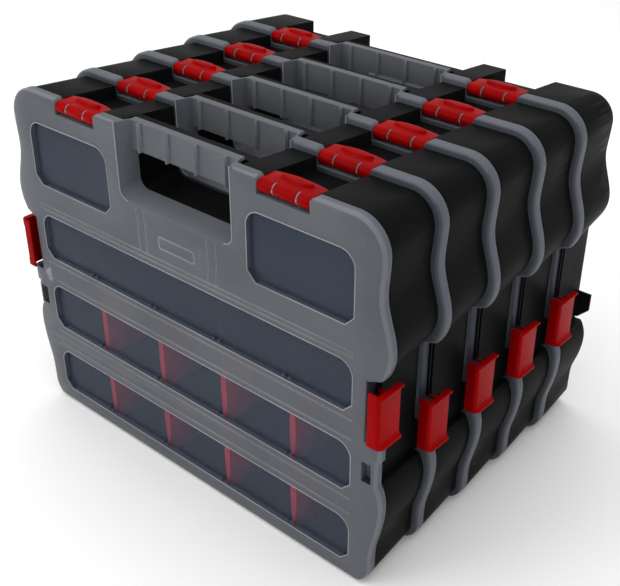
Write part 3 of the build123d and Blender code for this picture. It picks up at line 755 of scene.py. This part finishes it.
def add_dividers(name, rows, case, nodes):
    """Rows of removable dividers in a case: one divider of each row, repeated across the case."""
    places = [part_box(divider_name(rows[0], number)) for number in (1, DIVIDERS_IN_ROW)]
    middles = [(low.x + high.x) / 2 for low, high in places]
    into_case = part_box(f"base_{case}")[0].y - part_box("base_1")[0].y
    shift = Vector((-middles[0], into_case, 0))
    nodes_to_copy = [divider_name(row, 1) for row in rows]
    mesh = rounded(merged_copy(nodes_to_copy, [shift] * len(rows)), DIVIDER_EDGE)
    spacing = (middles[1] - middles[0]) / (DIVIDERS_IN_ROW - 1)
    mesh = grown(mesh, even_row, Count=DIVIDERS_IN_ROW, Spacing=spacing, Material=red_satin)
    ride_as(finished(name, mesh, red_satin), f"case_{case}", nodes)


def rib_path(surface, side, span, depth):
    """Points down the inner face of a lid's side wall, at one depth, over a span of heights."""
    low, high = span
    points = []
    for step in range(RIM_PATH_STEPS + 1):
        height = low + (high - low) * step / RIM_PATH_STEPS
        inwards = Vector((-side, 0, 0))
        outer = surface.ray_cast(Vector((side * WALL_SEARCH_START, depth, height)), inwards)[0]
        inner = surface.ray_cast(outer + inwards * WALL_SEARCH_STEP, inwards)[0]
        points.append(inner + inwards * RIM_RIB_SINK)
    return points


def add_rim_ribs(case, lid_body, lid_front):
    """The small ribs inside a lid's side walls, as one piece."""
    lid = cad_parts[f"lid_{case}"].data
    surface = BVHTree.FromPolygons([v.co for v in lid.vertices], [p.vertices for p in lid.polygons])
    points, edges = [], []
    for side in (-1, 1):
        for span in RIM_RIB_SPANS:
            path = rib_path(surface, side, span, lid_front + RIM_RIB_MIDDLE)
            edges += [(len(points) + step, len(points) + step + 1) for step in range(len(path) - 1)]
            points += path
    mesh = bpy.data.meshes.new("rib_paths")
    mesh.from_pydata(points, edges, [])
    mesh = grown(
        mesh,
        path_ribs,
        Count=RIM_RIB_COUNT,
        Thickness=RIM_RIB_THICKNESS,
        Width=RIM_RIB_WIDTH,
        Length=RIM_RIB_LENGTH,
        Material=pale_lip,
    )
    ride_as(finished(f"rim_ribs_{case}", mesh, pale_lip), lid_body)


def on_lip(place):
    """Whether a place on a lid's front is on the edge of a window, or of the recess above its lower edge."""
    across, low, high = LIP_REACH
    in_recess = abs(place.x) < across and low < place.z < high
    on_lower_edge = abs(place.x) < LIP_BOTTOM[0] and place.z < LIP_BOTTOM[1]
    return in_window(place) or (in_recess and not on_lower_edge)


def on_relief(place):
    """Whether a place on a lid's front is on the edge of the relief between the windows."""
    across, low, high = RELIEF_REACH
    return abs(place.x) < across and low < place.z < high and not on_lip(place)


def add_lips(name, case, lid_body, lid_front, chosen, radius):
    """Beads along those front edges of a lid that the chosen test picks, as one piece."""
    shell = bmesh.new()
    shell.from_mesh(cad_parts[f"lid_{case}"].data)
    bmesh.ops.remove_doubles(shell, verts=shell.verts, dist=WELD)
    places, edges = {}, []
    for edge in shell.edges:
        middle = (edge.verts[0].co + edge.verts[1].co) / 2
        on_front = all(abs(vertex.co.y - lid_front) < WELD for vertex in edge.verts)
        across = [abs(face.normal.y) for face in edge.link_faces]
        at_corner = min(across) <= FLAT_FACING <= max(across)
        if not on_front or not at_corner or not chosen(middle):
            continue
        edges.append([places.setdefault(vertex.index, len(places)) for vertex in edge.verts])
    shell.verts.ensure_lookup_table()
    points = [shell.verts[index].co.copy() for index in places]
    shell.free()
    mesh = bpy.data.meshes.new("lip_paths")
    mesh.from_pydata(points, edges, [])
    # The beads take the pale paint of a painted highlight
    mesh = grown(mesh, edge_bead, Radius=radius, Sides=LIP_SIDES, Material=pale_lip)
    ride_as(finished(name, mesh, pale_lip), lid_body)


def dress_case(case):
    """All pieces of one case."""
    body = f"case_{case}"
    lid_body = "front_lid" if case == 1 else body
    lid_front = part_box(f"lid_{case}")[0].y
    dress(f"base_{case}", f"tray_{case}", BASE_EDGE, black_base, body)
    dress(f"lid_{case}", f"cover_{case}", LID_EDGE, smoky_lid, lid_body, lid_front, case > 1)
    add_rim_ribs(case, lid_body, lid_front)
    add_lips(f"window_lips_{case}", case, lid_body, lid_front, on_lip, LIP_RADIUS)
    add_lips(f"relief_lips_{case}", case, lid_body, lid_front, on_relief, RELIEF_LIP_RADIUS)
    for side in SIDES:
        latch = f"latch_{side}_{case}"
        clip = f"clip_{side}_{case}"
        dress(latch, f"lever_{side}_{case}", LATCH_EDGE, red_gloss, latch)
        dress(clip, f"slider_{side}_{case}", CLIP_EDGE, red_gloss, clip)
    if case > 1:
        add_dividers(f"partitions_{case}", DIVIDER_ROWS, case, [f"dividers_{case}"])
        return
    for row in DIVIDER_ROWS:
        nodes = [divider_name(row, number + 1) for number in range(DIVIDERS_IN_ROW)]
        add_dividers(f"partitions_1_row_{row}", [row], case, nodes)


def make_floor_paint():
    """A matt, nearly white paint."""
    material = bpy.data.materials.new("pale_floor")
    tree, shader = node_tree(material)
    tone = noise_at(tree, *FLOOR_NOISE)
    tree.links.new(mix_colour(tree, tone, *FLOOR_TONES), shader.inputs["Base Color"])
    shader.inputs["Roughness"].default_value = FLOOR_ROUGHNESS
    shader.inputs["Specular IOR Level"].default_value = FLOOR_SPECULAR
    return material


def add_floor():
    """A plain pale floor under the block."""
    half = FLOOR_HALF
    corners = [(-half, -half, 0), (half, -half, 0), (half, half, 0), (-half, half, 0)]
    mesh = bpy.data.meshes.new("floor")
    mesh.from_pydata(corners, [], [(0, 1, 2, 3)])
    finished("floor", mesh, make_floor_paint())


def add_light(name, place, target, size, power):
    """A soft square light aimed at a point."""
    lamp = bpy.data.lights.new(name, "AREA")
    lamp.shape = "SQUARE"
    lamp.size = size
    lamp.energy = power
    light = bpy.data.objects.new(name, lamp)
    light.location = place
    light.rotation_euler = (Vector(target) - Vector(place)).to_track_quat("-Z", "Y").to_euler()
    bpy.context.scene.collection.objects.link(light)


def add_camera():
    """The camera at the photograph's place and angle."""
    azimuth = math.radians(CAMERA_AZIMUTH)
    elevation = math.radians(CAMERA_ELEVATION)
    back = Vector((
        math.sin(azimuth) * math.cos(elevation),
        -math.cos(azimuth) * math.cos(elevation),
        math.sin(elevation),
    ))
    lens = bpy.data.cameras.new("photo_camera")
    lens.sensor_width = SENSOR_WIDTH
    lens.sensor_fit = "HORIZONTAL"
    lens.lens = FOCAL_PIXELS / PHOTO_WIDTH * SENSOR_WIDTH
    lens.clip_start = CAMERA_NEAR
    camera = bpy.data.objects.new("photo_camera", lens)
    camera.location = CAMERA_PLACE
    camera.rotation_euler = (-back).to_track_quat("-Z", "Y").to_euler()
    bpy.context.scene.collection.objects.link(camera)
    bpy.context.scene.camera = camera


def add_world():
    """An even, nearly white surround, and plain colours with no film curve."""
    world = bpy.data.worlds.new("studio")
    world.use_nodes = True
    background = world.node_tree.nodes["Background"]
    background.inputs["Color"].default_value = WORLD_COLOUR
    background.inputs["Strength"].default_value = WORLD_STRENGTH
    bpy.context.scene.world = world
    bpy.context.scene.view_settings.view_transform = "Standard"


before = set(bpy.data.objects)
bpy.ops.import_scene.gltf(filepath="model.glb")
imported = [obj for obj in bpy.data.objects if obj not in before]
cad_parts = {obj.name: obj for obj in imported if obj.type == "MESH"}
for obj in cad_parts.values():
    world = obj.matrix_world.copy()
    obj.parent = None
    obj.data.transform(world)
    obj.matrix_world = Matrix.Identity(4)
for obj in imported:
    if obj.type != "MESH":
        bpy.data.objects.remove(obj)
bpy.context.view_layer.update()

grain_group = make_grain_group()
scuff_group = make_scuff_group()
edge_group = make_edge_group()
even_row = make_even_row_group()
path_ribs = make_path_ribs_group()
edge_bead = make_edge_bead_group()
black_base = make_plastic("black_satin_plastic", BLACK_SATIN)
smoky_lid = make_smoky_lid("smoky_lid_plastic")
pale_lip = make_plastic("pale_lip_highlight", PALE_LIP)
red_gloss = make_plastic("red_gloss_plastic", RED_GLOSS)
red_satin = make_plastic("red_divider_plastic", RED_SATIN)

for case in CASES:
    dress_case(case)

add_floor()
add_world()
for name, settings in LIGHTS.items():
    add_light(name, *settings)
add_camera()
